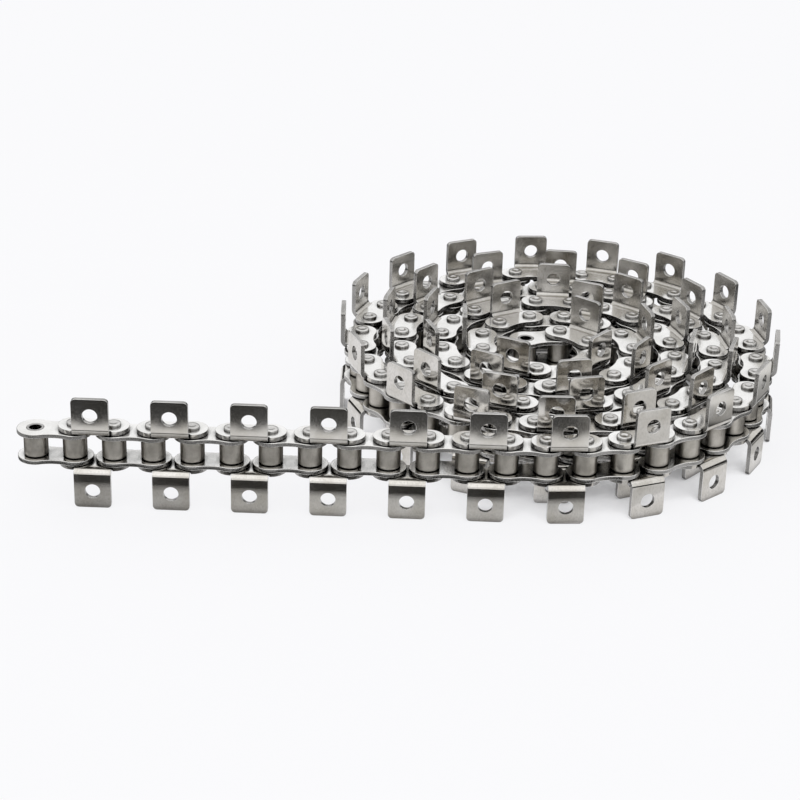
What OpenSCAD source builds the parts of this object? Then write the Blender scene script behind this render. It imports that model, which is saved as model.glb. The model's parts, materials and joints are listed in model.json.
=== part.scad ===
// Roller chain with bent attachment tabs on both sides of every outer link.
// A straight run lies on +X, and the rest of the chain is wound in a flat coil.
// Origin: axis of the free end's open bush, at half the chain's height. +Z runs along the pins.
// The chain stands on the ends of its lower tabs.

/* [Chain] */
// Distance between neighbouring pin axes
pitch = 12.7; // [11:0.1:16]
// Clear width between the two side plates of an inner link
inner_width = 7.85; // [6:0.05:10]
// Thickness of every side plate
plate_t = 1.5; // [1.1:0.05:1.8]
// Space left between the round ends of neighbouring inner plates
plate_end_gap = 0.7; // [0.4:0.1:1.5]
// How much lower the outer plates are than the inner plates
plate_step = 1.6; // [0.8:0.1:2.4]
// How far each long edge of a plate is drawn in at its waist
waist_depth = 1.1; // [0.4:0.1:1.3]
// Radius of the hollow of the waist
waist_r = 14; // [13:1:20]

/* [Pins, bushes and rollers] */
// Diameter of the pins
pin_d = 3.97; // [3.4:0.01:4.4]
// Wall of a bush
bush_wall = 0.77; // [0.6:0.01:0.9]
// Wall of a roller
roller_wall = 1.1; // [0.9:0.05:1.3]
// Bevel on the rims of a roller
roller_bevel = 0.35; // [0.2:0.05:0.5]
// How far a riveted pin head stands out past the outer plate
head_h = 1; // [0.5:0.05:1.4]
// How far the rim of a pin head reaches past the pin, on each side
head_rim = 0.45; // [0.1:0.05:0.6]
// Bevel on the rim of a pin head
head_bevel = 0.25; // [0.1:0.05:0.35]
// Diameter of the riveting dimple in a pin head, at its mouth
dimple_d = 2.6; // [1.6:0.1:3]
// Diameter of the dimple's flat floor
dimple_floor_d = 1; // [0.6:0.1:1.5]
// Depth of the riveting dimple
dimple_depth = 0.3; // [0.1:0.05:0.4]

/* [Attachment tabs] */
// Width of a tab
tab_w = 12; // [9:0.5:12]
// Distance from an outer plate's edge out to the tab's outer face
tab_overhang = 2.2; // [1.6:0.1:3.5]
// Inside radius of the bend between plate and tab
bend_r = 1.5; // [1:0.1:2]
// Height of the tab hole's centre above the chain's middle plane
tab_hole_h = 13.4; // [12.5:0.1:18]
// Diameter of the tab hole
tab_hole_d = 4.9; // [3:0.1:5.5]
// Metal between the tab hole and the tab's free end
tab_end_wall = 3.45; // [2:0.05:5]
// Corner radius of a tab's free end
tab_corner_r = 1.5; // [0.5:0.1:2.5]
// Width of the relief notch beside the bend
relief_w = 0.3; // [0.2:0.05:0.6]

/* [Running clearances] */
// Radial clearance of a pin in its bush
pin_clear = 0.04; // [0.02:0.01:0.09]
// Radial clearance of a roller on its bush
roller_clear = 0.06; // [0.02:0.01:0.09]
// Gap between a roller's end and an inner plate
roller_end_gap = 0.1; // [0.05:0.05:0.3]
// How far a bush stands out past an inner plate
bush_proud = 0.05; // [0.02:0.01:0.1]
// Gap between a bush's end and an outer plate
side_gap = 0.1; // [0.05:0.05:0.3]

/* [Coil] */
// Number of pitches that lie straight before the coil begins
straight_pitches = 13; // [13:1:20]
// Radius of bend where the coil leaves the straight run
coil_radius = 76.3; // [60:0.1:90]
// Radius of bend at which the innermost turn ends
core_radius = 11; // [11:1:30]
// Space left between one turn's tabs and the next turn's outer plates
turn_gap = 1.6; // [1.2:0.1:4]

/* [Hidden] */
$fn = 48;
CUT = 1; // how far a cutting shape runs past the face it opens

inner_plate_h = pitch - plate_end_gap;
outer_plate_h = inner_plate_h - plate_step;
bush_bore_d = pin_d + 2 * pin_clear;
bush_d = bush_bore_d + 2 * bush_wall;
roller_bore_d = bush_d + 2 * roller_clear;
roller_d = roller_bore_d + 2 * roller_wall;
head_d = pin_d + 2 * head_rim;

// Heights above the chain's middle plane
inner_plate_z = inner_width / 2;
bush_end_z = inner_plate_z + plate_t + bush_proud;
outer_plate_z = bush_end_z + side_gap;
head_z = outer_plate_z + plate_t;
tab_end_z = tab_hole_h + tab_hole_d / 2 + tab_end_wall;

// Where a tab stands, outwards from the line of pins
tab_face_y = outer_plate_h / 2 + tab_overhang;
bend_out_r = bend_r + plate_t;
bend_start_y = tab_face_y - bend_out_r;

// One turn's tabs clear the plates of the turn outside it
turn_step = max(inner_plate_h, tab_face_y + outer_plate_h / 2) + turn_gap;

// Chain path: the straight run, then a spiral whose turns lie parallel, turn_step apart
function bend_radius(heading) = coil_radius - turn_step * heading / 360;
function ease_in(pin) = min(1, max(0, (pin - straight_pitches + 1) / 2));
function bend_at(pin, heading) = ease_in(pin) * 2 * asin(pitch / 2 / bend_radius(heading));
function direction(heading) = [cos(heading), sin(heading)];

all_headings = [for (i = 0, h = 0; bend_radius(h) > core_radius; h = h + bend_at(i + 1, h), i = i + 1) h];
// An odd number of links, so that the chain has an inner link at both ends
link_count = 2 * ceil(len(all_headings) / 2) - 1;
headings = [for (i = [0:link_count - 1]) all_headings[i]];
pins_xy = [for (i = 0, p = [0, 0]; i <= link_count;
                p = p + pitch * direction(headings[min(i, link_count - 1)]), i = i + 1) p];

// Links are counted from the free end: even ones are inner links, odd ones are outer links.
// The six inner and six outer links of the run each turn on their own pin.
run_pairs = 6;
front_arc = [2 * run_pairs, 16];
right_arc = [17, 22];
back_arc = [23, 28];
coil = [29, link_count - 2];
last_link = link_count - 1;

RUN_NODES = [for (k = [1:run_pairs]) each [
    str("inner_link_", k, "_plates"), str("inner_link_", k, "_bushes"),
    str("inner_link_", k, "_roller_a"), str("inner_link_", k, "_roller_b"),
    str("outer_link_", k, "_tab_plates"), str("outer_link_", k, "_pins")]];
ARC_NODES = [for (arc = ["front_arc", "right_arc", "back_arc", "coil"]) each [
    str(arc, "_inner_plates"), str(arc, "_bushes"), str(arc, "_rollers"),
    str(arc, "_tab_plates"), str(arc, "_pins")]];

// ---- Places along the chain ----

// Puts its children at a link's middle, +X along the chain and -Y to the tab side
module at_link(i) {
    middle = (pins_xy[i] + pins_xy[i + 1]) / 2;
    translate([middle.x, middle.y, 0]) rotate([0, 0, headings[i]]) children();
}

module at_pin(i) {
    translate([pins_xy[i].x, pins_xy[i].y, 0]) children();
}

// Its children above the middle plane, and again below it, turned over
module both_sides() {
    children();
    mirror([0, 0, 1]) children();
}

function inner_links(span) = [for (i = [span[0]:span[1]]) if (i % 2 == 0) i];
function outer_links(span) = [for (i = [span[0]:span[1]]) if (i % 2 == 1) i];

// ---- Single pieces ----

// Flat outline of a side plate: two round ends and a hollow waist
module plate_outline(height) {
    bar = height - waist_depth / 2;
    for (x = [-pitch / 2, pitch / 2]) translate([x, 0]) circle(d = height);
    difference() {
        square([pitch, bar], center = true);
        for (side = [-1, 1]) translate([0, side * (height / 2 - waist_depth + waist_r)]) circle(r = waist_r);
    }
}

module pair_of_holes(diameter, depth) {
    for (x = [-pitch / 2, pitch / 2])
        translate([x, 0, -CUT]) cylinder(d = diameter, h = depth + 2 * CUT);
}

module inner_plate() {
    difference() {
        linear_extrude(plate_t) plate_outline(inner_plate_h);
        pair_of_holes(bush_d, plate_t);
    }
}

// Side view of a tab: the bend up from the plate, then the upright blade, with z = 0 under the plate
module tab_profile(blade_end) {
    translate([-bend_start_y, bend_out_r]) intersection() {
        difference() {
            circle(r = bend_out_r);
            circle(r = bend_r);
        }
        translate([-bend_out_r, -bend_out_r]) square(bend_out_r);
    }
    translate([-tab_face_y, bend_out_r]) square([plate_t, blade_end - bend_out_r]);
}

// Front view of a tab, with the two corners of its free end rounded
module tab_front(blade_end) {
    translate([-tab_w / 2, -CUT]) square([tab_w, blade_end - tab_corner_r + CUT]);
    translate([-tab_w / 2 + tab_corner_r, 0]) square([tab_w - 2 * tab_corner_r, blade_end]);
    for (side = [-1, 1])
        translate([side * (tab_w / 2 - tab_corner_r), blade_end - tab_corner_r]) circle(r = tab_corner_r);
}

// Outer side plate with its tab, drawn for the upper side, with z = 0 under the plate
module tab_plate() {
    blade_end = tab_end_z - outer_plate_z;
    difference() {
        union() {
            linear_extrude(plate_t) {
                difference() {
                    plate_outline(outer_plate_h);
                    translate([-tab_w / 2 - relief_w, -bend_start_y - outer_plate_h])
                        square([tab_w + 2 * relief_w, outer_plate_h]);
                }
                translate([-tab_w / 2, -bend_start_y]) square([tab_w, bend_start_y]);
            }
            intersection() {
                rotate([90, 0, 90]) linear_extrude(tab_w, center = true) tab_profile(blade_end);
                rotate([90, 0, 0]) linear_extrude(tab_face_y + CUT) tab_front(blade_end);
            }
        }
        pair_of_holes(pin_d, plate_t);
        translate([0, -bend_start_y, tab_hole_h - outer_plate_z])
            rotate([90, 0, 0]) cylinder(d = tab_hole_d, h = bend_out_r + CUT);
    }
}

module pin() {
    half = head_z + head_h;
    rotate_extrude() polygon([
        [0, -half + dimple_depth], [dimple_floor_d / 2, -half + dimple_depth],
        [dimple_d / 2, -half], [head_d / 2 - head_bevel, -half], [head_d / 2, -half + head_bevel],
        [head_d / 2, -head_z], [pin_d / 2, -head_z], [pin_d / 2, head_z], [head_d / 2, head_z],
        [head_d / 2, half - head_bevel], [head_d / 2 - head_bevel, half], [dimple_d / 2, half],
        [dimple_floor_d / 2, half - dimple_depth], [0, half - dimple_depth]]);
}

module bush() {
    difference() {
        cylinder(d = bush_d, h = 2 * bush_end_z, center = true);
        cylinder(d = bush_bore_d, h = 2 * bush_end_z + 2 * CUT, center = true);
    }
}

module roller() {
    half = inner_plate_z - roller_end_gap;
    rotate_extrude() polygon([
        [roller_bore_d / 2, -half], [roller_d / 2 - roller_bevel, -half],
        [roller_d / 2, -half + roller_bevel], [roller_d / 2, half - roller_bevel],
        [roller_d / 2 - roller_bevel, half], [roller_bore_d / 2, half]]);
}

// ---- Groups of like pieces that move together ----

module inner_plates(links) {
    color("gainsboro") for (i = links) at_link(i) both_sides() translate([0, 0, inner_plate_z]) inner_plate();
}

module bushes(links) {
    color("darkgray") for (i = links) for (end = [i, i + 1]) at_pin(end) bush();
}

module rollers(links) {
    color("rosybrown") for (i = links) for (end = [i, i + 1]) at_pin(end) roller();
}

module one_roller(i) {
    color("rosybrown") at_pin(i) roller();
}

module tab_plates(links) {
    color("silver") for (i = links) at_link(i) both_sides() translate([0, 0, outer_plate_z]) tab_plate();
}

module link_pins(links) {
    color("slategray") for (i = links) for (end = [i, i + 1]) at_pin(end) pin();
}

// ---- Nodes ----

for (k = [1:run_pairs]) {
    inner = 2 * k - 2;
    outer = 2 * k - 1;
    inner_plates([inner]);
    bushes([inner]);
    one_roller(inner);
    one_roller(inner + 1);
    tab_plates([outer]);
    link_pins([outer]);
}

inner_plates(inner_links(front_arc));  // front_arc_inner_plates
bushes(inner_links(front_arc));  // front_arc_bushes
rollers(inner_links(front_arc));  // front_arc_rollers
tab_plates(outer_links(front_arc));  // front_arc_tab_plates
link_pins(outer_links(front_arc));  // front_arc_pins

inner_plates(inner_links(right_arc));  // right_arc_inner_plates
bushes(inner_links(right_arc));  // right_arc_bushes
rollers(inner_links(right_arc));  // right_arc_rollers
tab_plates(outer_links(right_arc));  // right_arc_tab_plates
link_pins(outer_links(right_arc));  // right_arc_pins

inner_plates(inner_links(back_arc));  // back_arc_inner_plates
bushes(inner_links(back_arc));  // back_arc_bushes
rollers(inner_links(back_arc));  // back_arc_rollers
tab_plates(outer_links(back_arc));  // back_arc_tab_plates
link_pins(outer_links(back_arc));  // back_arc_pins

inner_plates(inner_links(coil));  // coil_inner_plates
bushes(inner_links(coil));  // coil_bushes
rollers(inner_links(coil));  // coil_rollers
tab_plates(outer_links(coil));  // coil_tab_plates
link_pins(outer_links(coil));  // coil_pins

inner_plates([last_link]);  // last_link_plates
bushes([last_link]);  // last_link_bushes
rollers([last_link]);  // last_link_rollers
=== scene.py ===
"""Roller chain with bent attachment tabs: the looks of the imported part.

Each kind of piece is modelled once on a bench, in millimetres, at the sizes of the CAD part. Its copies are then set
along the chain, link by link, and joined into one finished piece for each CAD node, which that piece replaces.
"""

import json
import logging
import math
import random
from collections.abc import Callable, Iterator
from contextlib import contextmanager
from dataclasses import dataclass, field
from enum import Enum

import bmesh
import bpy
import numpy as np
from bpy.types import Material, Node, NodeSocket, NodeTree, Object
from mathutils import Matrix, Vector
from mathutils.bvhtree import BVHTree


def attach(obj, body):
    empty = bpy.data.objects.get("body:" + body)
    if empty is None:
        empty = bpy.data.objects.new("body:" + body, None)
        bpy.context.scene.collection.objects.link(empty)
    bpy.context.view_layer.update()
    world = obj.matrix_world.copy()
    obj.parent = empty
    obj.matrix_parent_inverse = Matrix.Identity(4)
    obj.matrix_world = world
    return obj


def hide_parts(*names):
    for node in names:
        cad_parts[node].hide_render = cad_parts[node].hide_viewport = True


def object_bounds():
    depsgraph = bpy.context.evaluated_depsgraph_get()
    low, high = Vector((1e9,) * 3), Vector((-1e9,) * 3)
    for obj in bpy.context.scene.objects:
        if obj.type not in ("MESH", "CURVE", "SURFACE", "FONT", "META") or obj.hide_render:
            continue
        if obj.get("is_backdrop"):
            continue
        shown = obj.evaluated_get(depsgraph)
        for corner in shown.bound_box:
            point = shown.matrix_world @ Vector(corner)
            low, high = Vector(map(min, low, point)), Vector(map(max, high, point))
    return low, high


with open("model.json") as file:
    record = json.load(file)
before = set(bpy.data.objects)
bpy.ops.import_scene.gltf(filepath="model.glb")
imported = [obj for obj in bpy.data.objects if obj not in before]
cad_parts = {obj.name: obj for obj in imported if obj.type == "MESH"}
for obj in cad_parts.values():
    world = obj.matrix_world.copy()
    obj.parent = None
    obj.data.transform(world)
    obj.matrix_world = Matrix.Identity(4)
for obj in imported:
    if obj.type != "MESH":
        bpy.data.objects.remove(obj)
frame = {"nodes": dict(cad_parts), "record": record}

LOG = logging.getLogger("roller_chain")
MM = 0.001
TO_METRES = Matrix.Scale(MM, 4)
FRAME_W, FRAME_H = 800, 800
FRAME_L = max(FRAME_W, FRAME_H)

Triple = tuple[float, float, float]
Pair = tuple[float, float]
Pairs = tuple[Pair, ...]
Inputs = dict[str | int, object]


# ---- Bench: the few hand movements that every piece is made with ----


def take(piece: Object) -> None:
    """Makes one piece the only selected one, and the active one."""
    bpy.ops.object.select_all(action="DESELECT")
    piece.select_set(True)
    bpy.context.view_layer.objects.active = piece


def added(name: str) -> Object:
    """Names the primitive that was added last, and returns it."""
    piece = bpy.context.object
    piece.name = piece.data.name = name
    return piece


@contextmanager
def editing(piece: Object, elements: str = "FACE") -> Iterator[None]:
    """Opens a piece in edit mode with nothing selected, and closes it again.

    Args:
        piece: The piece to work on.
        elements: What is selected in it: VERT, EDGE or FACE.
    """
    take(piece)
    bpy.ops.object.mode_set(mode="EDIT")
    bpy.ops.mesh.select_mode(type=elements)
    bpy.ops.mesh.select_all(action="DESELECT")
    yield
    bpy.ops.object.mode_set(mode="OBJECT")


def pick(piece: Object, test: Callable[[Vector, Vector], bool], edges: bool = False) -> None:
    """Selects faces or edges in edit mode.

    Args:
        piece: The piece that is open in edit mode.
        test: Says whether one is selected, by a face's middle and normal or by an edge's two ends.
        edges: Whether edges are looked at, not faces.
    """
    mesh = bmesh.from_edit_mesh(piece.data)
    for part in mesh.edges if edges else mesh.faces:
        part.select_set(test(*(v.co for v in part.verts)) if edges else test(part.calc_center_median(), part.normal))
    bmesh.update_edit_mesh(piece.data)


def modify(piece: Object, kind: str, **settings: object) -> None:
    """Adds a modifier to a piece and applies it.

    Args:
        piece: The piece to change.
        kind: The modifier's type, such as BEVEL.
        settings: The modifier's own values.
    """
    take(piece)
    modifier = piece.modifiers.new(kind.lower(), kind)
    for name, value in settings.items():
        setattr(modifier, name, value)
    bpy.ops.object.modifier_apply(modifier=modifier.name)


def dissolve(piece: Object) -> None:
    """Merges the flat faces that cuts have split."""
    modify(piece, "DECIMATE", decimate_type="DISSOLVE", angle_limit=math.radians(1))


def smooth(piece: Object, angle: float) -> None:
    """Shades a piece smooth, apart from the edges sharper than an angle in degrees."""
    take(piece)
    bpy.ops.object.shade_smooth_by_angle(angle=math.radians(angle))


def combine(piece: Object, tool: Object, operation: str) -> None:
    """Adds a tool's shape to a piece, or cuts it away, by UNION or DIFFERENCE, and throws the tool away."""
    modify(piece, "BOOLEAN", operation=operation, object=tool)
    bpy.data.objects.remove(tool)


def disc(name: str, radius: float, low: float, high: float, x: float = 0.0, y: float = 0.0, sides: int = 32) -> Object:
    """Adds a round bar that stands on end, with a flat side, not an edge, on each axis.

    Args:
        name: The name of the bar.
        radius: Its radius.
        low: The height of its lower end.
        high: The height of its upper end.
        x: Its axis, in x.
        y: Its axis, in y.
        sides: The number of its sides.

    Returns:
        The bar.
    """
    bpy.ops.mesh.primitive_cylinder_add(
        vertices=sides, radius=radius, depth=high - low, location=(x, y, (low + high) / 2),
        rotation=(0, 0, math.pi / sides),
    )
    bpy.ops.object.transform_apply(location=True, rotation=True)
    return added(name)


def block(name: str, low: Triple, high: Triple) -> Object:
    """Adds a square block between two corners.

    Args:
        name: The name of the block.
        low: Its lowest corner.
        high: Its highest corner.

    Returns:
        The block.
    """
    middle = [(a + b) / 2 for a, b in zip(low, high)]
    bpy.ops.mesh.primitive_cube_add(size=1, location=middle, scale=[b - a for a, b in zip(low, high)])
    bpy.ops.object.transform_apply(location=True, scale=True)
    return added(name)


def turned(name: str, upper: list[Pair], sides: int, tube: bool) -> Object:
    """Turns a piece as on a lathe: a ring is extruded, widened and raised from one station to the next.

    Args:
        name: The name of the piece.
        upper: The radius and height of each ring of the upper half, which the lower half mirrors.
        sides: The number of sides of a ring.
        tube: True joins the last ring to the first one, False closes both ends with a face.

    Returns:
        The turned piece.
    """
    stations = [(radius, -height) for radius, height in reversed(upper)] + upper
    radius, height = stations[0]
    bpy.ops.mesh.primitive_circle_add(
        vertices=sides, radius=radius, location=(0, 0, 0), fill_type="NOTHING" if tube else "NGON"
    )
    piece = added(name)
    with editing(piece, "EDGE" if tube else "FACE"):
        bpy.ops.mesh.select_all(action="SELECT")
        bpy.ops.transform.translate(value=(0, 0, height))
        for wider, higher in stations[1:] + stations[:1] * tube:
            bpy.ops.mesh.extrude_region_move(TRANSFORM_OT_translate={"value": (0, 0, higher - height)})
            bpy.ops.transform.resize(value=(wider / radius, wider / radius, 1), center_override=(0, 0, higher))
            radius, height = wider, higher
        bpy.ops.mesh.select_all(action="SELECT")
        bpy.ops.mesh.remove_doubles(threshold=0.001)
        bpy.ops.mesh.normals_make_consistent(inside=False)
    return piece


# ---- Shader nodes ----


def feed(tree: NodeTree, node: Node, inputs: Inputs) -> None:
    """Gives a shader node's inputs their values.

    Args:
        tree: The material's nodes.
        node: The node.
        inputs: What goes into each input, by its name or number: a number, a tone or another node's output.
    """
    for name, value in inputs.items():
        socket = node.inputs[name]
        if isinstance(value, NodeSocket):
            tree.links.new(value, socket)
        else:
            socket.default_value = (*value, 1) if socket.type == "RGBA" else value


def add_node(tree: NodeTree, kind: str, inputs: Inputs | None = None, **settings: object) -> Node:
    """Adds a shader node.

    Args:
        tree: The material's nodes.
        kind: Its type, after the word ShaderNode.
        inputs: What goes into its inputs.
        settings: Its own settings.

    Returns:
        The node.
    """
    node = tree.nodes.new(f"ShaderNode{kind}")
    for name, value in settings.items():
        setattr(node, name, value)
    feed(tree, node, inputs or {})
    return node


def spread(tree: NodeTree, source: NodeSocket, given: Pair, wanted: Pair = (0, 1)) -> NodeSocket:
    """Stretches a pattern from the given range to the wanted one, and returns it."""
    ends = dict(zip(("From Min", "From Max", "To Min", "To Max"), given + wanted))
    return add_node(tree, "MapRange", {"Value": source, **ends}).outputs["Result"]


def blend(tree: NodeTree, share: NodeSocket, start: object, end: object) -> NodeSocket:
    """Mixes two tones, fixed or another node's output, by the share of the second, and returns the mixture."""
    return add_node(tree, "Mix", {0: share, 6: start, 7: end}, data_type="RGBA").outputs[2]


def openness(tree: NodeTree, reach: float, samples: int) -> NodeSocket:
    """Returns how open each place is, from 0 to 1, to what lies within a reach in metres."""
    return add_node(tree, "AmbientOcclusion", {"Distance": reach}, samples=samples).outputs["AO"]


def coordinate(tree: NodeTree, axis: str) -> NodeSocket:
    """Returns a place's X, Y or Z on the object."""
    place = add_node(tree, "TexCoord").outputs["Object"]
    return add_node(tree, "SeparateXYZ", {"Vector": place}).outputs[axis]


def dressed(name: str, inputs: Inputs) -> tuple[Material, NodeTree, Node]:
    """Starts a material.

    Args:
        name: Its name.
        inputs: The numbers and tones that are the same all over its shader.

    Returns:
        The material, its nodes and its shader.
    """
    material = bpy.data.materials.new(name)
    material.use_nodes = True
    shader = material.node_tree.nodes["Principled BSDF"]
    feed(material.node_tree, shader, inputs)
    return material, material.node_tree, shader


def show(tree: NodeTree, share: NodeSocket, under: Node, over: Node) -> None:
    """Makes a material show one shader over another, by the share of the upper one."""
    mixed = add_node(tree, "MixShader", {"Fac": share, 1: under.outputs[0], 2: over.outputs[0]})
    tree.links.new(mixed.outputs["Shader"], tree.nodes["Material Output"].inputs["Surface"])


# ---- Finishes ----


class Slot(Enum):
    """The material slots of the record, one for each kind of piece."""

    INNER_PLATE = "inner_plate_steel"
    TAB_PLATE = "tab_plate_steel"
    PIN = "pin_steel"
    BUSH = "bush_steel"
    ROLLER = "roller_steel"


@dataclass(frozen=True)
class Steel:
    """A bare steel finish, with slow changes of tone, a fine grain, a shallow relief and painted shade in its gaps.

    Attributes:
        name: The material's name.
        light: The lighter tone, linear red, green and blue.
        dark: The darker tone.
        smooth: The least roughness.
        rough: The most roughness.
        drift: The size of the slow changes, in millimetres.
        grain: The size of the grain in x, y and z, in millimetres.
        relief: The depth of the grain, in millimetres.
        mottle: How much darker the grain's dark specks are, from 0 to 1.
        oil_and_shade: The tone that closed-in places darken to, old oil and painted shade together, linear red, green
            and blue.
        oil_and_shade_films: How far that darkening reaches from the chain's inside and from a crevice, in millimetres,
            each with how open a place is where it is darkened fully and where it is clean.
        rim: The tint of what the steel reflects at a grazing angle.
        drift_span: Where in the slow pattern the steel is dark, and where it is light.
        grain_span: Where in the grain it is smooth, and where it is rough.
        speck_span: Where in the grain there is no dark speck, and where it is darkest.
    """

    name: str
    light: Triple
    dark: Triple
    smooth: float
    rough: float
    drift: float = 9.0
    grain: Triple = (0.35, 0.35, 0.35)
    relief: float = 0.01
    mottle: float = 0.15
    oil_and_shade: Triple = (0.02, 0.018, 0.016)
    oil_and_shade_films: tuple[tuple[float, Pair], ...] = ((9.0, (0.24, 0.52)), (1.6, (0.40, 0.84)))
    rim: Triple = (1.0, 1.0, 1.0)
    drift_span: Pair = (0.35, 0.65)
    grain_span: Pair = (0.3, 0.7)
    speck_span: Pair = (0.55, 0.30)

    def noise(self, tree: NodeTree, size: Triple, detail: float) -> NodeSocket:
        """Adds a noise pattern on object coordinates.

        Args:
            tree: The material's nodes.
            size: The size of the pattern in x, y and z, in millimetres.
            detail: How many finer layers it has.

        Returns:
            The pattern.
        """
        place = add_node(tree, "TexCoord").outputs["Object"]
        scaled = add_node(tree, "Mapping", {"Vector": place, "Scale": [1 / (s * MM) for s in size]}).outputs["Vector"]
        return add_node(tree, "TexNoise", {"Vector": scaled, "Scale": 1.0, "Detail": detail}).outputs["Fac"]

    def material(self) -> Material:
        """Builds the finish as a procedural material, and returns it."""
        steel, tree, shader = dressed(self.name, {"Metallic": 1.0, "Specular Tint": self.rim})
        slow = self.noise(tree, (self.drift,) * 3, detail=3.0)
        fine = self.noise(tree, self.grain, detail=4.0)
        tone = blend(tree, spread(tree, slow, self.drift_span), self.dark, self.light)
        tone = blend(tree, spread(tree, fine, self.speck_span, (0, self.mottle)), tone, (0, 0, 0))
        # Painted shade with old oil: the tone darkens towards oil_and_shade where a place is closed in, inside the
        # chain and in crevices.
        for reach, span in self.oil_and_shade_films:
            tone = blend(tree, spread(tree, openness(tree, reach * MM, samples=4), span), self.oil_and_shade, tone)
        relief = add_node(tree, "Bump", {"Strength": 1.0, "Distance": self.relief * MM, "Height": fine})
        gloss = spread(tree, fine, self.grain_span, (self.smooth, self.rough))
        feed(tree, shader, {"Base Color": tone, "Roughness": gloss, "Normal": relief.outputs["Normal"]})
        return steel


TUMBLED_PLATE = Steel(
    "tumbled_plate", (0.90, 0.895, 0.885), (0.79, 0.785, 0.77), 0.11, 0.22, relief=0.004, mottle=0.1
)
TUMBLED_EDGE = Steel("tumbled_edge", (0.88, 0.87, 0.85), (0.78, 0.77, 0.75), 0.10, 0.18, relief=0.002)
# Painted shade: the punched sides are a duller steel, and their tone is also set far below the faces' to paint shade
# on the sides of plates and tabs.
SHADED_PUNCHED_SIDE = Steel(
    "shaded_punched_side", (0.46, 0.45, 0.44), (0.30, 0.295, 0.285), 0.18, 0.34, grain=(0.3, 0.3, 0.9), relief=0.006
)
ROLLED_TAB = Steel(
    "rolled_tab", (0.72, 0.70, 0.67), (0.58, 0.555, 0.51), 0.07, 0.13, grain=(0.5, 0.5, 0.9), relief=0.002
)
PRESSED_TAB = Steel(
    "pressed_tab", (0.64, 0.62, 0.59), (0.52, 0.50, 0.46), 0.17, 0.27, grain=(0.5, 0.5, 0.9), relief=0.002
)
RIVETED_PIN = Steel(
    "riveted_pin", (0.80, 0.79, 0.775), (0.62, 0.61, 0.595), 0.12, 0.24, relief=0.006, rim=(0.25, 0.25, 0.25)
)
CURLED_BUSH = Steel("curled_bush", (0.50, 0.49, 0.48), (0.36, 0.355, 0.35), 0.20, 0.34)
DRAWN_ROLLER = Steel(
    "drawn_roller", (0.66, 0.63, 0.58), (0.48, 0.455, 0.41), 0.28, 0.44, drift=4.0, grain=(0.5, 0.5, 0.9),
    relief=0.006, mottle=0.10, rim=(0.08, 0.08, 0.08),
)
PLATE_FINISHES = (TUMBLED_PLATE, TUMBLED_EDGE, SHADED_PUNCHED_SIDE, ROLLED_TAB, PRESSED_TAB)


# ---- Pieces of a link, modelled once, in millimetres ----


@dataclass
class InnerPlate:
    """A punched side plate of an inner link. It lies on z = 0 with its eyes on x, half a pitch either side of y.

    Attributes:
        pitch: The distance between the eyes.
        height: The height across an eye.
        thickness: The thickness of the plate.
        waist_depth: How far each long edge is drawn in at the waist.
        waist_radius: The radius of that hollow.
        hole: The diameter of each eye's hole.
        edge: The width of the tumbled, rounded edges.
        sharp: The angle from which an edge is rounded, in degrees.
        waist_sides: The number of sides of the waist's cutter.
        eye_sides: The number of sides of an eye.
        hole_sides: The number of sides of an eye's hole.
    """

    pitch: float = 12.7
    height: float = 12.0
    thickness: float = 1.5
    waist_depth: float = 1.1
    waist_radius: float = 14.0
    hole: float = 5.59
    edge: float = 0.26
    sharp: float = 40.0
    waist_sides: int = 96
    eye_sides: int = 32
    hole_sides: int = 24

    def waist(self, side: int) -> Object:
        """Returns the round cutter that hollows one long edge, side 1 for +y and -1 for -y."""
        off = side * (self.height / 2 - self.waist_depth + self.waist_radius)
        return disc("waist", self.waist_radius, -1, self.thickness + 1, y=off, sides=self.waist_sides)

    def blank(self, waists: tuple[int, ...]) -> Object:
        """Punches the blank: a bar hollowed at the waist, with a round eye at each end.

        Args:
            waists: The long edges that are hollowed, 1 for +y and -1 for -y.

        Returns:
            The blank, without holes.
        """
        half = self.height / 2 - self.waist_depth / 4  # between the tops of the eyes and the floor of the waist
        plate = block("blank", (-self.pitch / 2, -half, 0), (self.pitch / 2, half, self.thickness))
        for side in waists:
            combine(plate, self.waist(side), "DIFFERENCE")
        for end in (-1, 1):
            eye = disc("eye", self.height / 2, 0, self.thickness, x=end * self.pitch / 2, sides=self.eye_sides)
            combine(plate, eye, "UNION")
        dissolve(plate)
        return plate

    def drill_eyes(self, plate: Object) -> None:
        """Cuts the hole of each eye through a plate.

        Args:
            plate: The plate to drill.
        """
        for x in (-self.pitch / 2, self.pitch / 2):
            drill = disc("eye_drill", self.hole / 2, -1, self.thickness + 1, x=x, sides=self.hole_sides)
            combine(plate, drill, "DIFFERENCE")

    def finish_of(self, at: Vector, facing: Vector) -> Steel:
        """Returns the finish of a face by its middle and normal: the punched sides lie across the sheet."""
        return SHADED_PUNCHED_SIDE if abs(facing.z) < 0.1 else TUMBLED_PLATE

    def finish_edges(self, plate: Object) -> None:
        """Gives the faces, the punched sides, darkened with painted shade, and the tumbled edges their own finish, and
        rounds every sharp edge.

        Args:
            plate: The plate to finish.
        """
        for index, finish in enumerate(PLATE_FINISHES):
            plate.data.materials.append(bpy.data.materials[finish.name])
            with editing(plate):
                pick(plate, lambda at, facing: self.finish_of(at, facing) is finish)
                plate.active_material_index = index
                bpy.ops.object.material_slot_assign()
        modify(
            plate, "BEVEL", width=self.edge, segments=2, limit_method="ANGLE", angle_limit=math.radians(self.sharp),
            material=PLATE_FINISHES.index(TUMBLED_EDGE), use_clamp_overlap=True,
        )
        smooth(plate, angle=50)

    def build(self) -> Object:
        """Models the plate and returns it."""
        plate = self.blank((-1, 1))
        self.drill_eyes(plate)
        self.finish_edges(plate)
        return plate


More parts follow.
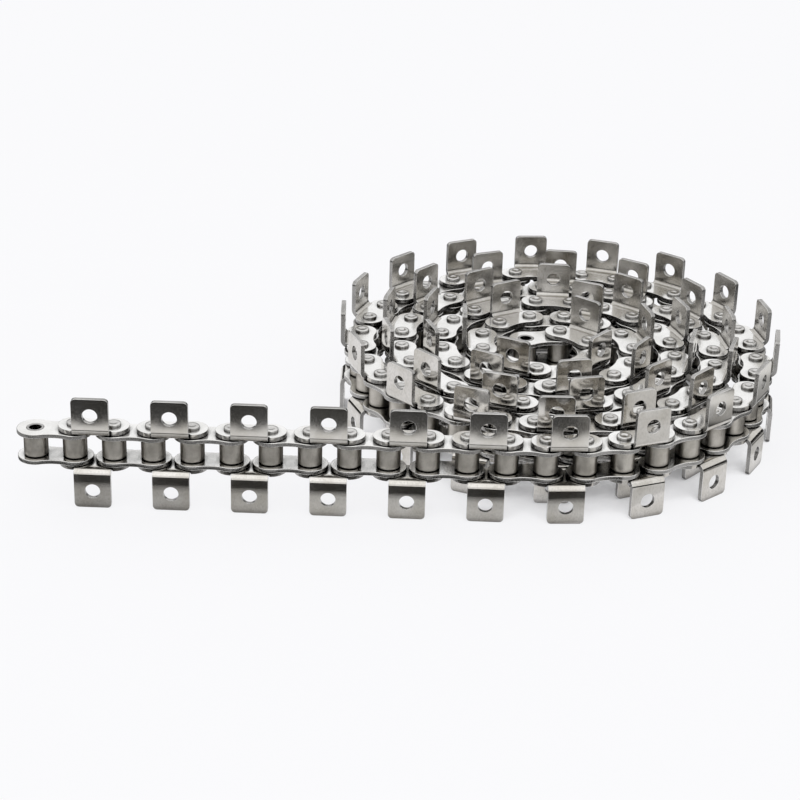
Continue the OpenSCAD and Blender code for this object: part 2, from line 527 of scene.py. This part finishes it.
@dataclass
class TabPlate(InnerPlate):
    """A side plate of an outer link, with its tab bent up along the -y edge. Its plate lies on z = 0.

    Attributes:
        tab_width: The width of the tab.
        tab_face: How far the tab's outer face stands from the line of pins.
        bend: The inside radius of the bend.
        relief: The width of the notch on each side of the bend.
        tab_end: The height of the tab's free end.
        hole_height: The height of the tab's hole.
        tab_hole: The diameter of the tab's hole.
        tab_hole_sides: The number of sides of the tab's hole.
        corner: The radius of the free end's corners.
        near: How close to its place a face or an edge is taken for the one that is looked for.
    """

    height: float = 10.4
    hole: float = 3.97
    edge: float = 0.22
    tab_width: float = 12.0
    tab_face: float = 7.4
    bend: float = 1.5
    relief: float = 0.3
    tab_end: float = 13.725
    hole_height: float = 7.825
    tab_hole: float = 4.9
    tab_hole_sides: int = 28
    corner: float = 1.5
    near: float = 0.01

    @property
    def outside(self) -> float:
        """The outside radius of the bend."""
        return self.bend + self.thickness

    @property
    def root(self) -> float:
        """How far from the line of pins the bend starts."""
        return self.tab_face - self.outside

    def notch(self, plate: Object) -> None:
        """Cuts the -y edge straight between the relief notches, and marks the tab's width across the plate.

        Args:
            plate: The blank to cut.
        """
        side = self.tab_width / 2 + self.relief
        cutter = block("notch", (-side, -self.height, -1), (side, -self.root, self.thickness + 1))
        combine(plate, cutter, "DIFFERENCE")
        for x in (-self.tab_width / 2, self.tab_width / 2):
            with editing(plate):
                bpy.ops.mesh.select_all(action="SELECT")
                bpy.ops.mesh.bisect(plane_co=(x, 0, 0), plane_no=(1, 0, 0))

    def is_root(self, at: Vector, facing: Vector) -> bool:
        """Says whether a face is the one that the tab grows from."""
        return facing.y < -0.9 and abs(at.y + self.root) < self.near and abs(at.x) < 1

    def is_corner(self, a: Vector, b: Vector) -> bool:
        """Says whether an edge is a corner of the tab's free end."""
        beside = min(abs(a.x), abs(b.x)) > self.tab_width / 2 - self.near and a.x * b.x > 0
        return beside and min(a.z, b.z) > self.tab_end - self.near

    def bend_tab(self, plate: Object) -> None:
        """Spins the tab's root up through the bend, and draws the blade up from it.

        Args:
            plate: The notched blank.
        """
        with editing(plate):
            pick(plate, self.is_root)
            bpy.ops.mesh.spin(steps=6, angle=math.pi / 2, center=(0, -self.root, self.outside), axis=(1, 0, 0))
            bpy.ops.mesh.extrude_region_move(TRANSFORM_OT_translate={"value": (0, 0, self.tab_end - self.outside)})
            bpy.ops.mesh.select_all(action="SELECT")
            bpy.ops.mesh.normals_make_consistent(inside=False)
        with editing(plate, "EDGE"):
            pick(plate, self.is_corner, edges=True)
            bpy.ops.mesh.bevel(offset=self.corner, segments=5, affect="EDGES")

    def drill_tab(self, plate: Object) -> None:
        """Drills the hole through the tab's blade.

        Args:
            plate: The plate with its tab bent up.
        """
        bpy.ops.mesh.primitive_cylinder_add(
            vertices=self.tab_hole_sides, radius=self.tab_hole / 2, depth=4 * self.thickness,
            location=(0, -self.tab_face + self.thickness / 2, self.hole_height), rotation=(math.pi / 2, 0, 0),
        )
        bpy.ops.object.transform_apply(location=True, rotation=True)
        combine(plate, added("tab_drill"), "DIFFERENCE")

    def finish_of(self, at: Vector, facing: Vector) -> Steel:
        """Chooses the finish of a face: the bending punch dulled the inside of the tab.

        Args:
            at: The face's middle.
            facing: The face's normal.

        Returns:
            The finish.
        """
        if at.y > -self.root:
            return super().finish_of(at, facing)
        if abs(facing.x) > 0.9 or (at.z > self.outside and abs(facing.y) < 0.9):
            return SHADED_PUNCHED_SIDE
        return PRESSED_TAB if facing.y + facing.z > 0 else ROLLED_TAB

    def build(self) -> Object:
        """Models the plate with its tab and returns it."""
        plate = self.blank((1,))
        self.notch(plate)
        self.bend_tab(plate)
        dissolve(plate)
        self.drill_eyes(plate)
        self.drill_tab(plate)
        self.finish_edges(plate)
        return plate


@dataclass
class Pin:
    """A bearing pin with a riveted head at both ends, on the z axis.

    Attributes:
        shank: The diameter of the shank.
        head: The diameter of a head.
        seat: The height at which a head sits on its plate.
        collar: How far a head's underside rises from the shank to the rim.
        top: The height of a head's highest point.
        crown: How far in from the rim and how far below the top each ring of a head's rounding lies.
        dimple: The diameter of the riveting dimple.
        bowl: The same for the rings of the dimple, measured in from its mouth.
        bowl_floor: The radius and the depth of the dimple's flat floor.
    """

    shank: float = 3.97
    head: float = 4.87
    seat: float = 7.075
    collar: float = 0.02
    top: float = 8.075
    crown: Pairs = ((0, 0.3), (0.06, 0.17), (0.22, 0.07), (0.55, 0.01))
    dimple: float = 2.6
    bowl: Pairs = ((0, 0), (0.12, 0.04), (0.4, 0.24))
    bowl_floor: Pair = (0.35, 0.3)

    def build(self) -> Object:
        """Models the pin and returns it."""
        upper = [(self.shank / 2, self.seat), (self.head / 2, self.seat + self.collar)]
        for across, rings in ((self.head, self.crown), (self.dimple, self.bowl)):
            upper += [(across / 2 - inward, self.top - below) for inward, below in rings]
        upper.append((self.bowl_floor[0], self.top - self.bowl_floor[1]))
        pin = turned("pin", upper, sides=24, tube=False)
        pin.data.materials.append(bpy.data.materials[RIVETED_PIN.name])
        smooth(pin, angle=50)
        return pin


@dataclass
class Bush:
    """A bush curled from strip, with its seam along one side, on the z axis.

    Attributes:
        bore: The diameter of the bore.
        outside: The outside diameter.
        end: The height of its ends above and below the middle.
        chamfer: The bevel of its rims.
        seam: The width of the seam.
        seam_over: How far the seam's cutter reaches past the wall on each side.
    """

    bore: float = 4.05
    outside: float = 5.59
    end: float = 5.475
    chamfer: float = 0.14
    seam: float = 0.09
    seam_over: float = 0.4

    def build(self) -> Object:
        """Models the bush and returns it."""
        r, big, c, over = self.bore / 2, self.outside / 2, self.chamfer, self.seam_over
        upper = [(big, self.end - c), (big - c, self.end), (r + c, self.end), (r, self.end - c)]
        bush = turned("bush", upper, sides=28, tube=True)
        seam = block("seam", (r - over, -self.seam / 2, -self.end - 1), (big + over, self.seam / 2, self.end + 1))
        combine(bush, seam, "DIFFERENCE")
        bush.data.materials.append(bpy.data.materials[CURLED_BUSH.name])
        smooth(bush, angle=40)
        return bush


@dataclass
class Roller:
    """A solid roller, loose on its bush, on the z axis.

    Attributes:
        bore: The diameter of the bore.
        outside: The outside diameter.
        end: The height of its ends above and below the middle.
        rounding: The rounding of its outer rims.
        arc: How far in and how far down each ring of that rounding lies, as parts of it.
        chamfer: The bevel of its inner rims.
    """

    bore: float = 5.71
    outside: float = 7.91
    end: float = 3.825
    rounding: float = 0.38
    arc: Pairs = ((0, 1), (0.12, 0.45), (0.45, 0.12), (1, 0))
    chamfer: float = 0.12

    def build(self) -> Object:
        """Models the roller and returns it."""
        r, big = self.bore / 2, self.outside / 2
        upper = [(big - inward * self.rounding, self.end - down * self.rounding) for inward, down in self.arc]
        upper += [(r + self.chamfer, self.end), (r, self.end - self.chamfer)]
        roller = turned("roller", upper, sides=32, tube=True)
        roller.data.materials.append(bpy.data.materials[DRAWN_ROLLER.name])
        smooth(roller, angle=50)
        return roller


# ---- The chain ----


@dataclass
class ChainPath:
    """The chain's route in metres: the axes of its bushes, from the free end to the coil's eye.

    Attributes:
        axes: The place of each axis, in x and y.
    """

    axes: list[Vector]

    @classmethod
    def of_bushes(cls, nodes: dict[str, Object], pitch: float) -> "ChainPath":
        """Finds the axes from the CAD bushes, and puts them in order along the chain.

        Args:
            nodes: The CAD nodes by name.
            pitch: The chain's pitch, in metres.

        Returns:
            The path.
        """
        found: list[Vector] = []
        for name, node in nodes.items():
            if not name.endswith("_bushes"):
                continue
            left = np.array([v.co for v in node.data.vertices])[:, :2]
            while len(left):
                near = np.hypot(*(left - left[0]).T) < pitch / 2
                found.append(Vector((left[near].min(0) + left[near].max(0)) / 2))
                left = left[~near]
        order = [min(found, key=lambda p: p.length)]
        found.remove(order[0])
        while found:
            order.append(min(found, key=lambda p: (p - order[-1]).length))
            found.remove(order[-1])
        return cls(order)

    def at_link(self, link: int) -> Matrix:
        """Returns the place of a link: its middle, with +x along the chain and -y to the tabs."""
        here, there = self.axes[link], self.axes[link + 1]
        along = there - here
        return Matrix.Translation(((here + there) / 2).to_3d()) @ Matrix.Rotation(math.atan2(along.y, along.x), 4, "Z")

    def at_axis(self, index: int, turn: float) -> Matrix:
        """Returns the place of a bush's axis, turned by an angle about it."""
        return Matrix.Translation(self.axes[index].to_3d()) @ Matrix.Rotation(turn, 4, "Z")

    @property
    def links(self) -> int:
        """The number of links."""
        return len(self.axes) - 1


@dataclass(frozen=True)
class Stretch:
    """Neighbouring links that share CAD nodes and move together.

    Attributes:
        name: The start of its nodes' names.
        first: Its first link, counted from the free end.
        last: Its last link.
    """

    name: str
    first: int
    last: int

    def links(self, odd: int) -> list[int]:
        """Returns its inner links, which are the even ones, or where odd is 1 its outer links."""
        return [link for link in range(self.first, self.last + 1) if link % 2 == odd]


@dataclass
class Chain:
    """Sets the modelled pieces along the chain.

    Attributes:
        path: The chain's route.
        bodies: The body of each CAD node.
        shapes: The modelled pieces, one of each kind.
        finished: The finished pieces by CAD node.
        inner_z: The height of an inner plate's underside above the middle, in millimetres.
        outer_z: The height of an outer plate's underside above the middle, in millimetres.
        run_pairs: The number of inner links, and of outer links, that have nodes of their own.
    """

    path: ChainPath
    bodies: dict[str, str]
    shapes: dict[Slot, Object]
    finished: dict[str, Object] = field(default_factory=dict)
    inner_z: float = 3.925
    outer_z: float = 5.575
    run_pairs: int = 6

    def stretches(self) -> list[Stretch]:
        """Returns the stretches that share nodes: the arcs, the coil and the last link."""
        last = self.path.links - 1
        return [
            Stretch("front_arc", 2 * self.run_pairs, 16), Stretch("right_arc", 17, 22), Stretch("back_arc", 23, 28),
            Stretch("coil", 29, last - 1), Stretch("last_link", last, last),
        ]

    def round_pieces(self, links: list[int]) -> list[Matrix]:
        """Returns the places of what sits on the axes at both ends of some links, each turned at random."""
        ends = (end for link in links for end in (link, link + 1))
        return [self.path.at_axis(end, random.Random(end).uniform(0, 2 * math.pi)) for end in ends]

    def lay(self, node: str, slot: Slot, places: list[Matrix]) -> None:
        """Copies one shape to its places, joins the copies, and lets them stand for a CAD node.

        Args:
            node: The CAD node that they replace.
            slot: The material slot, which also names the shape.
            places: Where the copies go.
        """
        copies = []
        for place in places:
            copy = bpy.data.objects.new(node, self.shapes[slot].data.copy())
            copy.data.transform(place @ TO_METRES)
            bpy.context.scene.collection.objects.link(copy)
            copies.append(copy)
        take(copies[0])
        for copy in copies[1:]:
            copy.select_set(True)
        if len(copies) > 1:
            bpy.ops.object.join()
        piece = bpy.context.view_layer.objects.active
        piece.name = piece.data.name = f"{node}_finished"
        modify(piece, "WEIGHTED_NORMAL", keep_sharp=True)
        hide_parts(node)
        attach(piece, self.bodies[node])
        self.finished[node] = piece
        LOG.info("%s: %d of %s, %d faces", piece.name, len(places), slot.value, len(piece.data.polygons))

    def lay_plates(self, node: str, slot: Slot, links: list[int]) -> None:
        """Lays the upper and lower side plates of some links: a lower plate is an upper one turned over.

        Args:
            node: The CAD node that they replace.
            slot: INNER_PLATE or TAB_PLATE.
            links: The links that the plates are in.
        """
        inner = slot is Slot.INNER_PLATE
        up = Matrix.Translation((0, 0, (self.inner_z if inner else self.outer_z) * MM))
        over = Matrix.Rotation(math.pi, 4, "X" if inner else "Y")
        self.lay(node, slot, [self.path.at_link(link) @ turn @ up for link in links for turn in (Matrix(), over)])

    def build_run(self) -> None:
        """Lays the links of the straight run, each with nodes of its own."""
        for pair in range(1, self.run_pairs + 1):
            inner, outer = [2 * pair - 2], [2 * pair - 1]
            self.lay_plates(f"inner_link_{pair}_plates", Slot.INNER_PLATE, inner)
            self.lay(f"inner_link_{pair}_bushes", Slot.BUSH, self.round_pieces(inner))
            for end, place in zip("ab", self.round_pieces(inner)):
                self.lay(f"inner_link_{pair}_roller_{end}", Slot.ROLLER, [place])
            self.lay_plates(f"outer_link_{pair}_tab_plates", Slot.TAB_PLATE, outer)
            self.lay(f"outer_link_{pair}_pins", Slot.PIN, self.round_pieces(outer))

    def build_stretch(self, part: Stretch) -> None:
        """Lays the links of one stretch.

        Args:
            part: The stretch.
        """
        inner, outer = part.links(0), part.links(1)
        plates = "inner_plates" if outer else "plates"
        self.lay_plates(f"{part.name}_{plates}", Slot.INNER_PLATE, inner)
        self.lay(f"{part.name}_bushes", Slot.BUSH, self.round_pieces(inner))
        self.lay(f"{part.name}_rollers", Slot.ROLLER, self.round_pieces(inner))
        if outer:
            self.lay_plates(f"{part.name}_tab_plates", Slot.TAB_PLATE, outer)
            self.lay(f"{part.name}_pins", Slot.PIN, self.round_pieces(outer))

    def build(self) -> None:
        """Lays the whole chain, and clears the bench."""
        self.build_run()
        for part in self.stretches():
            self.build_stretch(part)
        for shape in self.shapes.values():
            bpy.data.objects.remove(shape)


# ---- Studio ----


@dataclass
class View:
    """The photograph's camera.

    Attributes:
        place: Where it stands, in metres.
        yaw: How far it looks to the right of +y, in degrees.
        down: How far it looks down, in degrees.
        roll: How far it leans, in degrees.
        lens: Its focal length, in millimetres.
        sensor: The width of its sensor, in millimetres.
        shift_x: Its shift in x.
        shift_y: Its shift in y.
    """

    place: Triple = (0.1303, -0.6160, 0.3101)
    yaw: float = -1.19
    down: float = 25.24
    roll: float = 1.55
    lens: float = 96.1
    sensor: float = 36.0
    shift_x: float = 0.0
    shift_y: float = 0.0

    def matrix(self) -> Matrix:
        """Returns the camera's place and turn."""
        turns = ((-self.yaw, "Z"), (90 - self.down, "X"), (self.roll, "Z"))
        yaw, down, roll = (Matrix.Rotation(math.radians(angle), 4, axis) for angle, axis in turns)
        return Matrix.Translation(self.place) @ yaw @ down @ roll

    def build(self) -> None:
        """Adds the camera, and makes it the scene's."""
        lens = bpy.data.cameras.new("photo_camera")
        lens.sensor_fit, lens.sensor_width, lens.lens = "AUTO", self.sensor, self.lens
        lens.shift_x, lens.shift_y = self.shift_x, self.shift_y
        lens.clip_start, lens.clip_end = 0.01, 20
        camera = bpy.data.objects.new("photo_camera", lens)
        camera.matrix_world = self.matrix()
        bpy.context.scene.collection.objects.link(camera)
        bpy.context.scene.camera = camera

    def ray(self, x: float, y: float) -> tuple[Vector, Vector]:
        """Finds the ray through an image point.

        Args:
            x: The point's x.
            y: The point's y.

        Returns:
            The ray's start and direction.
        """
        into = Vector((
            x - FRAME_W / 2 + self.shift_x * FRAME_L,
            FRAME_H / 2 - y + self.shift_y * FRAME_L,
            -FRAME_L * self.lens / self.sensor,
        ))
        turn = self.matrix()
        return turn.translation, (turn.to_3x3() @ into).normalized()

    def shown(self, place: Vector) -> Pair:
        """Finds where in the picture a place shows.

        Args:
            place: The place, in metres.

        Returns:
            The x and y of the image point.
        """
        into = self.matrix().inverted() @ place
        scale = FRAME_L * self.lens / self.sensor / -into.z
        return (
            into.x * scale + FRAME_W / 2 - self.shift_x * FRAME_L,
            FRAME_H / 2 - into.y * scale + self.shift_y * FRAME_L,
        )


@dataclass
class Studio:
    """The pale floor, the soft light and the cards that the steel reflects.

    Attributes:
        box: The lowest and highest corner of the chain, in metres.
        paper_tone: The floor's colour.
        glow_tone: The colour that the camera and the steel see it glow with.
        paper_glow: How much of what they see is that glow, so that the shadow is faint.
        shade_reach: How far from the chain its own shade lies on the paper, in metres.
        shade: How open the paper's sky is where that shade is full, and where it ends.
        sky: How bright the surroundings are.
        run_card: The tones of the grey card on the floor before the straight run, by the distance in millimetres.
        coil_card: The same before the coil.
        side_card: The same on the other three sides.
        card_depth: How far the cards reach from the chain, in metres.
        card_lift: How high they lie above the paper.
        corner_tone: The tone of the front card's right end.
        coil_to_corner: Where along the front the card grows light, in metres from the middle.
        run_to_coil: Where along the front the run's card changes to the coil's.
        strip_off: How far the dark strip stands before the lower tabs, in metres.
        strip_span: The heights of its lower and upper edge above the floor.
        strip_fade: How high its lower edge thins out.
        strip_ends: Where along the front it starts and ends.
        strip_tone: How light it is.
        band_radius: How far the dark band at the horizon stands from the chain, in metres.
        band_height: The height of that band.
        band_tone: How light it is.
    """

    box: tuple[Vector, Vector]
    paper_tone: Triple = (0.93, 0.93, 0.94)
    glow_tone: Triple = (0.955, 0.955, 0.972)
    paper_glow: float = 0.85
    shade_reach: float = 0.035
    shade: Pair = (0.05, 0.26)
    sky: float = 1.0
    run_card: Pairs = (
        (0, 0.55), (6, 0.52), (12.5, 0.46), (15, 0.46), (17, 0.72), (26, 0.72), (30, 0.16), (45, 0.20),
        (48, 0.90), (55, 0.90), (57.5, 0.62), (59.5, 0.30), (61.5, 0.10), (65, 0.055), (82, 0.05), (120, 0.03),
    )
    coil_card: Pairs = (
        (0, 0.88), (6, 0.80), (12.5, 0.62), (15, 0.62), (17, 0.80), (26, 0.80), (30, 0.24), (45, 0.30),
        (48, 0.92), (57, 0.88), (60, 0.65), (62, 0.36), (64, 0.15), (68, 0.08), (82, 0.06), (120, 0.03),
    )
    side_card: Pairs = (
        (0, 0.90), (6, 0.82), (12.5, 0.62), (15.5, 0.48), (17.2, 0.25), (18.4, 0.035), (27, 0.03), (31, 0.36),
        (45, 0.52), (48, 0.92), (57, 0.88), (60, 0.65), (62, 0.36), (64, 0.15), (68, 0.08), (82, 0.06), (120, 0.03),
    )
    card_depth: float = 1.2
    card_lift: float = 0.0002
    corner_tone: float = 0.72
    coil_to_corner: Pair = (0.07, 0.10)
    run_to_coil: Pair = (-0.10, -0.03)
    strip_off: float = 0.0025
    strip_span: Pair = (0.0056, 0.0122)
    strip_fade: float = 0.0024
    strip_ends: Pair = (-0.20, 0.07)
    strip_tone: float = 0.20
    band_radius: float = 1.4
    band_height: float = 0.33
    band_tone: float = 0.03

    @property
    def floor_z(self) -> float:
        """The height of the floor."""
        return self.box[0].z

    @property
    def middle(self) -> Vector:
        """The middle of the chain."""
        return (self.box[0] + self.box[1]) / 2

    def paper(self) -> Material:
        """Builds the floor's white paper, on which the shadow stays faint, and returns it."""
        look = {"Base Color": self.paper_tone, "Roughness": 0.9, "Specular IOR Level": 0.1}
        paper, tree, shader = dressed("white_paper", look)
        rays = add_node(tree, "LightPath").outputs
        seen = rays["Is Camera Ray"]
        for ray in ("Is Glossy Ray", "Is Transmission Ray"):
            seen = add_node(tree, "Math", {0: seen, 1: rays[ray]}).outputs["Value"]
        glow = spread(tree, openness(tree, self.shade_reach, samples=8), self.shade, (0, self.paper_glow))
        share = add_node(tree, "Math", {0: seen, 1: glow}, operation="MULTIPLY").outputs["Value"]
        show(tree, share, shader, add_node(tree, "Emission", {"Color": self.glow_tone}))
        return paper

    def floor(self) -> None:
        """Lays the pale floor."""
        bpy.ops.mesh.primitive_plane_add(size=8, location=(self.middle.x, self.middle.y + 1.0, self.floor_z))
        bpy.ops.object.transform_apply(location=True)
        floor = added("studio_floor")
        floor.data.materials.append(self.paper())
        floor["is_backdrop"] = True

    def world(self) -> None:
        """Surrounds the studio with white."""
        world = bpy.data.worlds.new("white_studio")
        world.use_nodes = True
        feed(world.node_tree, world.node_tree.nodes["Background"], {"Color": (1, 1, 1), "Strength": self.sky})
        bpy.context.scene.world = world

    def hang(self, flag: Object, tone: float = 1.0) -> Node:
        """Makes a dull card of a shape, which only the steel reflects.

        Args:
            flag: The shape.
            tone: How light it is.

        Returns:
            The card's shader.
        """
        card, _, shader = dressed(flag.name, {"Base Color": (tone,) * 3, "Roughness": 0.9, "Specular IOR Level": 0.0})
        flag.data.materials.append(card)
        flag.visible_camera = flag.visible_diffuse = flag.visible_shadow = flag.visible_transmission = False
        flag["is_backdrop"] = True
        return shader

    def graded(self, tree: NodeTree, distance: NodeSocket, stops: Pairs) -> NodeSocket:
        """Adds a grey that changes with the distance.

        Args:
            tree: The card's nodes.
            distance: The distance from the chain, in units of the last stop's distance.
            stops: Distances in millimetres, and the tone at each.

        Returns:
            The grey.
        """
        ramp = add_node(tree, "ValToRGB", {"Fac": distance})
        tones = ramp.color_ramp.elements
        (_, first), *between, (far, last) = stops
        tones[0].color, tones[1].color = (first, first, first, 1), (last, last, last, 1)
        for at, tone in between:
            tones.new(at / far).color = (tone, tone, tone, 1)
        return ramp.outputs["Color"]

    def floor_card(self, turn: int) -> None:
        """Lays a graded card on the floor along one side of the chain.

        Args:
            turn: The side: 0 front, 1 right, 2 back, 3 left.
        """
        size = self.box[1] - self.box[0]
        length = size[turn % 2] + (2 * self.card_depth if turn % 2 == 0 else 0)
        bpy.ops.mesh.primitive_plane_add(size=1, location=(0, -self.card_depth / 2, 0))
        bpy.ops.transform.resize(value=(length, self.card_depth, 1))
        bpy.ops.object.transform_apply(location=True, scale=True)
        card = added(f"floor_card_{turn}")
        card.matrix_world = (
            Matrix.Translation((self.middle.x, self.middle.y, self.floor_z + self.card_lift))
            @ Matrix.Rotation(turn * math.pi / 2, 4, "Z") @ Matrix.Translation((0, -size[1 - turn % 2] / 2, 0))
        )
        shader = self.hang(card)
        tree = shader.id_data
        away = spread(tree, coordinate(tree, "Y"), (0, -self.coil_card[-1][0] * MM))
        tone = self.graded(tree, away, self.side_card if turn else self.coil_card)
        if turn == 0:
            along = coordinate(tree, "X")
            tone = blend(tree, spread(tree, along, self.run_to_coil), self.graded(tree, away, self.run_card), tone)
            tone = blend(tree, spread(tree, along, self.coil_to_corner), tone, (self.corner_tone,) * 3)
        feed(tree, shader, {"Base Color": tone})

    def tab_strip(self) -> None:
        """Stands a low dark strip close before the lower tabs, with a lower edge that thins out."""
        (left, right), (low, high) = self.strip_ends, self.strip_span
        bpy.ops.mesh.primitive_plane_add(size=1, rotation=(math.pi / 2, 0, 0), location=(
            self.middle.x + (left + right) / 2, self.box[0].y - self.strip_off, self.floor_z + (low + high) / 2,
        ))
        bpy.ops.transform.resize(value=(right - left, 1, high - low))
        bpy.ops.object.transform_apply(location=True, rotation=True, scale=True)
        shader = self.hang(added("tab_strip"), self.strip_tone)
        tree, edge = shader.id_data, self.floor_z + low
        share = spread(tree, coordinate(tree, "Z"), (edge, edge + self.strip_fade))
        show(tree, share, add_node(tree, "BsdfTransparent"), shader)

    def flags(self) -> None:
        """Lays graded cards on the floor all round the chain, and stands dark ones before the tabs and far away."""
        for turn in range(4):
            self.floor_card(turn)
        self.tab_strip()
        bpy.ops.mesh.primitive_cylinder_add(
            vertices=64, radius=self.band_radius, depth=self.band_height, end_fill_type="NOTHING",
            location=(self.middle.x, self.middle.y, self.floor_z + self.band_height / 2),
        )
        bpy.ops.object.transform_apply(location=True)
        self.hang(added("horizon_band"), self.band_tone)

    def lamp(self, name: str, place: Triple, size: Pair, power: float) -> None:
        """Hangs a softbox that points at the chain.

        Args:
            name: The lamp's name.
            place: Where it hangs, measured from the middle of the chain, in metres.
            size: Its width and height, in metres.
            power: Its power, in watts.
        """
        light = bpy.data.lights.new(name, "AREA")
        light.shape, light.size, light.size_y, light.energy = "RECTANGLE", *size, power
        lamp = bpy.data.objects.new(name, light)
        lamp.visible_camera = False
        lamp.location = self.middle + Vector(place)
        lamp.rotation_euler = (-Vector(place)).to_track_quat("-Z", "Y").to_euler()
        bpy.context.scene.collection.objects.link(lamp)

    def build(self) -> None:
        """Builds the studio."""
        self.floor()
        self.world()
        self.flags()
        self.lamp("back_softbox", place=(0.0, 1.0, 0.52), size=(1.6, 0.7), power=0.15)
        self.lamp("front_softbox", place=(0.0, -0.65, 0.90), size=(1.8, 0.9), power=1.7)
        bpy.context.scene.view_settings.view_transform = "Standard"


# ---- Image points ----


@dataclass
class ImagePoints:
    """Points of the photograph, and how far the model shows from them.

    Attributes:
        view: The camera.
        chain: The finished chain.
        edges: The x or y of the object's left, right, top and bottom.
        upper_holes: The middle of the hole of an upper tab, by the tab's link.
        lower_holes: The middle of the hole of a lower tab, by the tab's link.
        tab_face: How far a tab's outer face stands from the line of pins, in millimetres.
        hole_z: The height of a tab hole's middle above or below the chain's middle, in millimetres.
        rounds: How often the nearest place to a ray that misses is looked for.
        tried: How many of the outermost vertices are tried for one that shows.
        skin: How far behind the first face on its ray a vertex still counts as one that shows, in metres.
    """

    view: View
    chain: Chain
    edges: dict[str, float] = field(default_factory=lambda: {"left": 17, "right": 781, "top": 233, "bottom": 524})
    upper_holes: dict[int, Pair] = field(default_factory=lambda: {
        1: (91.4, 415.1), 7: (329.9, 422.9), 13: (570, 432.5), 15: (654, 426.8), 21: (778, 350),
        25: (727.2, 290.8), 31: (530.4, 249.9), 39: (343, 323), 47: (556.8, 413.7),
    })
    lower_holes: dict[int, Pair] = field(default_factory=lambda: {
        1: (91.9, 492.3), 7: (327.4, 498.8), 13: (568.4, 507.9), 17: (713.5, 482),
    })
    tab_face: float = TabPlate.tab_face
    hole_z: float = 13.4
    rounds: int = 20
    tried: int = 4000
    skin: float = 0.1 * MM

    def hull(self) -> BVHTree:
        """Returns a search tree of every finished piece."""
        places: list[Vector] = []
        faces: list[list[int]] = []
        for piece in self.chain.finished.values():
            start = len(places)
            places += [v.co.copy() for v in piece.data.vertices]
            faces += [[start + v for v in face.vertices] for face in piece.data.polygons]
        return BVHTree.FromPolygons(places, faces)

    def placed(self, tree: BVHTree, x: float, y: float) -> Vector:
        """Finds the place on the chain that an image point shows.

        Args:
            tree: The search tree of what carries the place.
            x: The point's x.
            y: The point's y.

        Returns:
            Where the ray meets the chain, or the place on it that lies nearest the ray.
        """
        start, ahead = self.view.ray(x, y)
        hit = tree.ray_cast(start, ahead)[0]
        if hit is not None:
            return hit
        place = start + ahead * start.length
        for _ in range(self.rounds):
            near = tree.find_nearest(place)[0]
            place = start + ahead * (near - start).dot(ahead)
        return near

    def hole(self, link: int, side: int) -> Pair:
        """Returns the image point of the middle of a tab's hole, side 1 for the upper tab and -1 for the lower one."""
        local = Vector((0, -self.tab_face, side * self.hole_z)) * MM
        return self.view.shown(self.chain.path.at_link(link) @ local)

    def reach(self, tree: BVHTree) -> dict[str, float]:
        """Returns the x or y of the outermost vertices that show, on each side of the picture.

        Args:
            tree: The search tree of the chain.

        Returns:
            The left, right, top and bottom of what shows.
        """
        places = [v.co for piece in self.chain.finished.values() for v in piece.data.vertices]
        shown = [(self.view.shown(p), p) for p in places]
        start = self.view.matrix().translation
        ends: dict[str, float] = {}
        for name, axis, sign in (("left", 0, 1), ("right", 0, -1), ("top", 1, 1), ("bottom", 1, -1)):
            for point, place in sorted(shown, key=lambda row: sign * row[0][axis])[:self.tried]:
                away = place - start
                hit = tree.ray_cast(start, away.normalized())[3]
                if hit is None or hit > away.length - self.skin:
                    ends[name] = point[axis]
                    break
        return ends

    def write(self) -> None:
        tree = self.hull()
        ends = self.reach(tree)
        rows = {f"{name} edge": round(ends[name] - at, 1) for name, at in self.edges.items()}
        for side, name, points in ((1, "upper", self.upper_holes), (-1, "lower", self.lower_holes)):
            for link, (x, y) in points.items():
                here = self.hole(link, side)
                carried = self.placed(tree, x, y)
                rows[f"{name} tab hole of link {link}"] = {
                    "dx": round(here[0] - x, 1), "dy": round(here[1] - y, 1),
                    "lands_at_mm": [round(c / MM, 1) for c in carried],
                }


def main() -> None:
    """Builds the chain's looks, then the studio and the camera."""
    logging.basicConfig(level=logging.INFO, format="%(message)s")
    cad_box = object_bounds()
    bodies = frame["record"]["behaviour"]["bodies"]
    for finish in (*PLATE_FINISHES, RIVETED_PIN, CURLED_BUSH, DRAWN_ROLLER):
        finish.material()
    shapes = {
        Slot.INNER_PLATE: InnerPlate().build(), Slot.TAB_PLATE: TabPlate().build(), Slot.PIN: Pin().build(),
        Slot.BUSH: Bush().build(), Slot.ROLLER: Roller().build(),
    }
    for slot, shape in shapes.items():
        LOG.info("modelled %s for %s: %d faces", shape.name, slot.value, len(shape.data.polygons))
    path = ChainPath.of_bushes(frame["nodes"], InnerPlate.pitch * MM)
    LOG.info("the chain has %d links", path.links)
    chain = Chain(path, {node: body for body, nodes in bodies.items() for node in nodes}, shapes)
    chain.build()

    view = View()
    view.build()
    Studio(cad_box).build()
    ImagePoints(view, chain).write()


if __name__ == "__main__":
    main()
